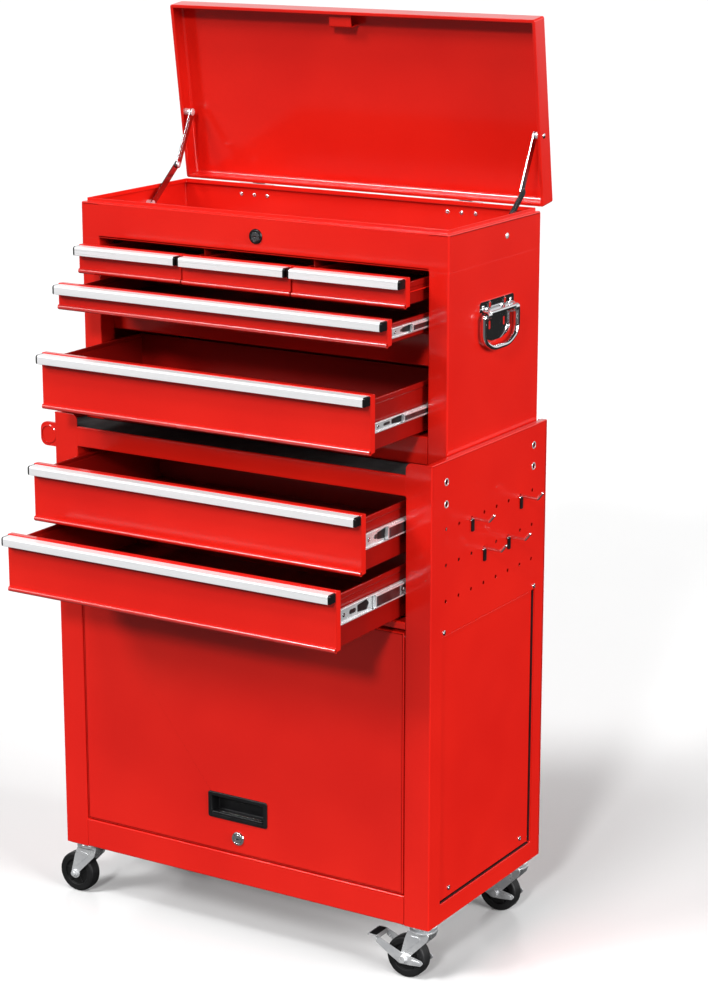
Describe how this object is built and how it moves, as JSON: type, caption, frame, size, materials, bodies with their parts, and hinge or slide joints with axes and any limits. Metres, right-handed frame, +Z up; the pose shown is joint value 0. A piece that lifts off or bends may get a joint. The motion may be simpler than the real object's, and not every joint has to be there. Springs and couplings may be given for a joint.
{
  "type": "rolling tool chest",
  "caption": "Rolling steel tool chest: a lift-lid chest with drawers on a cabinet with drawers, flip-up door, push handle, peg hooks and casters.",
  "frame": {"origin": "on the floor under the middle of the cabinet's plan", "axes": "+X to the right seen from the front, +Y backwards (the front faces -Y), +Z up"},
  "size_m": [0.7033, 0.5256, 1.2886],
  "materials": {
    "red_steel": "semi-gloss powder coat",
    "pull_aluminium": "satin anodised, black plastic end caps",
    "zinc_steel": "bright zinc plate",
    "chrome": "polished",
    "wheel_rubber": "moulded",
    "mat_rubber": "ribbed matt",
    "black_plastic": "moulded"
  },
  "bodies": {
    "frame": {"side_panel_left": "red_steel", "side_panel_right": "red_steel", "cabinet_back": "red_steel", "cabinet_base": "red_steel", "cabinet_top_tray": "red_steel", "tray_mat": "mat_rubber", "door_header_rail": "red_steel", "access_panels": "red_steel", "chest_shell": "red_steel", "chest_front_rails": "red_steel", "chest_till_floor": "red_steel", "chest_lock_barrel": "chrome", "slide_outer_rails": "zinc_steel", "lid_hinge_fixed_leaves": "zinc_steel", "side_handle_plates": "chrome", "push_handle": "red_steel", "peg_hooks": "chrome", "caster_brackets": "zinc_steel", "screws_and_rivets": "zinc_steel"},
    "lid": {"lid": "red_steel", "lid_hinge_moving_leaves": "zinc_steel"},
    "stay_lower": {"lid_stay_lower_links": "zinc_steel"},
    "stay_upper": {"lid_stay_upper_links": "zinc_steel"},
    "drawer_1": {"drawer_1_box": "red_steel", "drawer_1_pull": "pull_aluminium"},
    "drawer_2": {"drawer_2_box": "red_steel", "drawer_2_pull": "pull_aluminium"},
    "drawer_3": {"drawer_3_box": "red_steel", "drawer_3_pull": "pull_aluminium"},
    "drawer_4": {"drawer_4_box": "red_steel", "drawer_4_pull": "pull_aluminium", "drawer_4_slide_inner": "zinc_steel"},
    "drawer_5": {"drawer_5_box": "red_steel", "drawer_5_pull": "pull_aluminium", "drawer_5_slide_inner": "zinc_steel"},
    "drawer_6": {"drawer_6_box": "red_steel", "drawer_6_pull": "pull_aluminium", "drawer_6_slide_inner": "zinc_steel"},
    "drawer_7": {"drawer_7_box": "red_steel", "drawer_7_pull": "pull_aluminium", "drawer_7_slide_inner": "zinc_steel"},
    "drawer_4_slide": {"drawer_4_slide_middle": "zinc_steel"},
    "drawer_5_slide": {"drawer_5_slide_middle": "zinc_steel"},
    "drawer_6_slide": {"drawer_6_slide_middle": "zinc_steel"},
    "drawer_7_slide": {"drawer_7_slide_middle": "zinc_steel"},
    "door": {"door": "red_steel", "door_pull": "black_plastic", "door_lock_barrel": "chrome"},
    "door_lock": {"door_lock_plug": "chrome"},
    "chest_lock": {"chest_lock_plug": "chrome"},
    "bail_left": {"side_handle_bail_left": "chrome"},
    "bail_right": {"side_handle_bail_right": "chrome"},
    "fork_front": {"swivel_fork_front": "zinc_steel"},
    "fork_rear": {"swivel_fork_rear": "zinc_steel"},
    "pedal_front": {"brake_pedal_front": "zinc_steel"},
    "pedal_rear": {"brake_pedal_rear": "zinc_steel"},
    "wheel_front_left": {"wheel_front_left": "wheel_rubber"},
    "wheel_rear_left": {"wheel_rear_left": "wheel_rubber"},
    "wheel_front_right": {"wheel_front_right": "wheel_rubber"},
    "wheel_rear_right": {"wheel_rear_right": "wheel_rubber"}
  },
  "joints": [
    {"name": "lid_hinge", "type": "hinge", "parent": "frame", "child": "lid", "pos_m": [0, 0.1579, 1.027], "axis": [1, 0, 0], "range_deg": [0, 82]},
    {"name": "lid_stay_lower_pivot", "type": "hinge", "parent": "frame", "child": "stay_lower", "pos_m": [0, 0.0555, 1.005], "axis": [1, 0, 0], "range_deg": [-34.57, 0]},
    {"name": "lid_stay_upper_pivot", "type": "hinge", "parent": "lid", "child": "stay_upper", "pos_m": [0, 0.154, 1.128], "axis": [1, 0, 0], "range_deg": [0, 16.85]},
    {"name": "drawer_1_slide_out", "type": "slide", "parent": "frame", "child": "drawer_1", "axis": [0, -1, 0], "range_m": [-0.05, 0.08]},
    {"name": "drawer_2_slide_out", "type": "slide", "parent": "frame", "child": "drawer_2", "axis": [0, -1, 0], "range_m": [-0.052, 0.078]},
    {"name": "drawer_3_slide_out", "type": "slide", "parent": "frame", "child": "drawer_3", "axis": [0, -1, 0], "range_m": [-0.053, 0.077]},
    {"name": "drawer_4_slide_out", "type": "slide", "parent": "frame", "child": "drawer_4", "axis": [0, -1, 0], "range_m": [-0.098, 0.072]},
    {"name": "drawer_4_slide_middle_travel", "type": "slide", "parent": "frame", "child": "drawer_4_slide", "axis": [0, -1, 0], "range_m": [-0.049, 0.036]},
    {"name": "drawer_5_slide_out", "type": "slide", "parent": "frame", "child": "drawer_5", "axis": [0, -1, 0], "range_m": [-0.139, 0.036]},
    {"name": "drawer_5_slide_middle_travel", "type": "slide", "parent": "frame", "child": "drawer_5_slide", "axis": [0, -1, 0], "range_m": [-0.0695, 0.018]},
    {"name": "drawer_6_slide_out", "type": "slide", "parent": "frame", "child": "drawer_6", "axis": [0, -1, 0], "range_m": [-0.1035, 0.1215]},
    {"name": "drawer_6_slide_middle_travel", "type": "slide", "parent": "frame", "child": "drawer_6_slide", "axis": [0, -1, 0], "range_m": [-0.05175, 0.06075]},
    {"name": "drawer_7_slide_out", "type": "slide", "parent": "frame", "child": "drawer_7", "axis": [0, -1, 0], "range_m": [-0.1645, 0.0605]},
    {"name": "drawer_7_slide_middle_travel", "type": "slide", "parent": "frame", "child": "drawer_7_slide", "axis": [0, -1, 0], "range_m": [-0.08225, 0.03025]},
    {"name": "door_hinge", "type": "hinge", "parent": "frame", "child": "door", "pos_m": [0, -0.1535, 0.4955], "axis": [-1, 0, 0], "range_deg": [0, 90]},
    {"name": "door_lock_turn", "type": "hinge", "parent": "door", "child": "door_lock", "pos_m": [-0.0022, -0.1605, 0.1544], "axis": [0, 1, 0], "range_deg": [0, 90]},
    {"name": "chest_lock_turn", "type": "hinge", "parent": "frame", "child": "chest_lock", "pos_m": [-0.0022, -0.1013, 1.0003], "axis": [0, -1, 0], "range_deg": [0, 90]},
    {"name": "bail_right_swing", "type": "hinge", "parent": "frame", "child": "bail_right", "pos_m": [0.3041, 0.027, 0.908], "axis": [0, -1, 0], "range_deg": [0, 90]},
    {"name": "bail_left_swing", "type": "hinge", "parent": "frame", "child": "bail_left", "pos_m": [-0.3041, 0.027, 0.908], "axis": [0, 1, 0], "range_deg": [0, 90]},
    {"name": "swivel_front", "type": "hinge", "parent": "frame", "child": "fork_front", "pos_m": [0.2835, -0.1325, 0.0774], "axis": [0, 0, 1], "continuous": true},
    {"name": "brake_front", "type": "hinge", "parent": "fork_front", "child": "pedal_front", "pos_m": [0.2605, -0.1325, 0.03], "axis": [0, -1, 0], "range_deg": [0, 14]},
    {"name": "wheel_front_right_roll", "type": "hinge", "parent": "fork_front", "child": "wheel_front_right", "pos_m": [0.2605, -0.1325, 0.03], "axis": [0, 1, 0], "continuous": true},
    {"name": "wheel_front_left_roll", "type": "hinge", "parent": "frame", "child": "wheel_front_left", "pos_m": [-0.3065, -0.1325, 0.03], "axis": [0, 1, 0], "continuous": true},
    {"name": "swivel_rear", "type": "hinge", "parent": "frame", "child": "fork_rear", "pos_m": [0.2835, 0.1315, 0.0774], "axis": [0, 0, 1], "continuous": true},
    {"name": "brake_rear", "type": "hinge", "parent": "fork_rear", "child": "pedal_rear", "pos_m": [0.2605, 0.1315, 0.03], "axis": [0, -1, 0], "range_deg": [0, 14]},
    {"name": "wheel_rear_right_roll", "type": "hinge", "parent": "fork_rear", "child": "wheel_rear_right", "pos_m": [0.2605, 0.1315, 0.03], "axis": [0, 1, 0], "continuous": true},
    {"name": "wheel_rear_left_roll", "type": "hinge", "parent": "frame", "child": "wheel_rear_left", "pos_m": [-0.3065, 0.1315, 0.03], "axis": [0, 1, 0], "continuous": true}
  ],
  "couplings": [
    {"joint": "lid_stay_lower_pivot", "follows": "lid_hinge", "ratio": -0.41548},
    {"joint": "lid_stay_upper_pivot", "follows": "lid_hinge", "ratio": 0.19942},
    {"joint": "drawer_4_slide_middle_travel", "follows": "drawer_4_slide_out", "ratio": 0.5},
    {"joint": "drawer_5_slide_middle_travel", "follows": "drawer_5_slide_out", "ratio": 0.5},
    {"joint": "drawer_6_slide_middle_travel", "follows": "drawer_6_slide_out", "ratio": 0.5},
    {"joint": "drawer_7_slide_middle_travel", "follows": "drawer_7_slide_out", "ratio": 0.5}
  ]
}
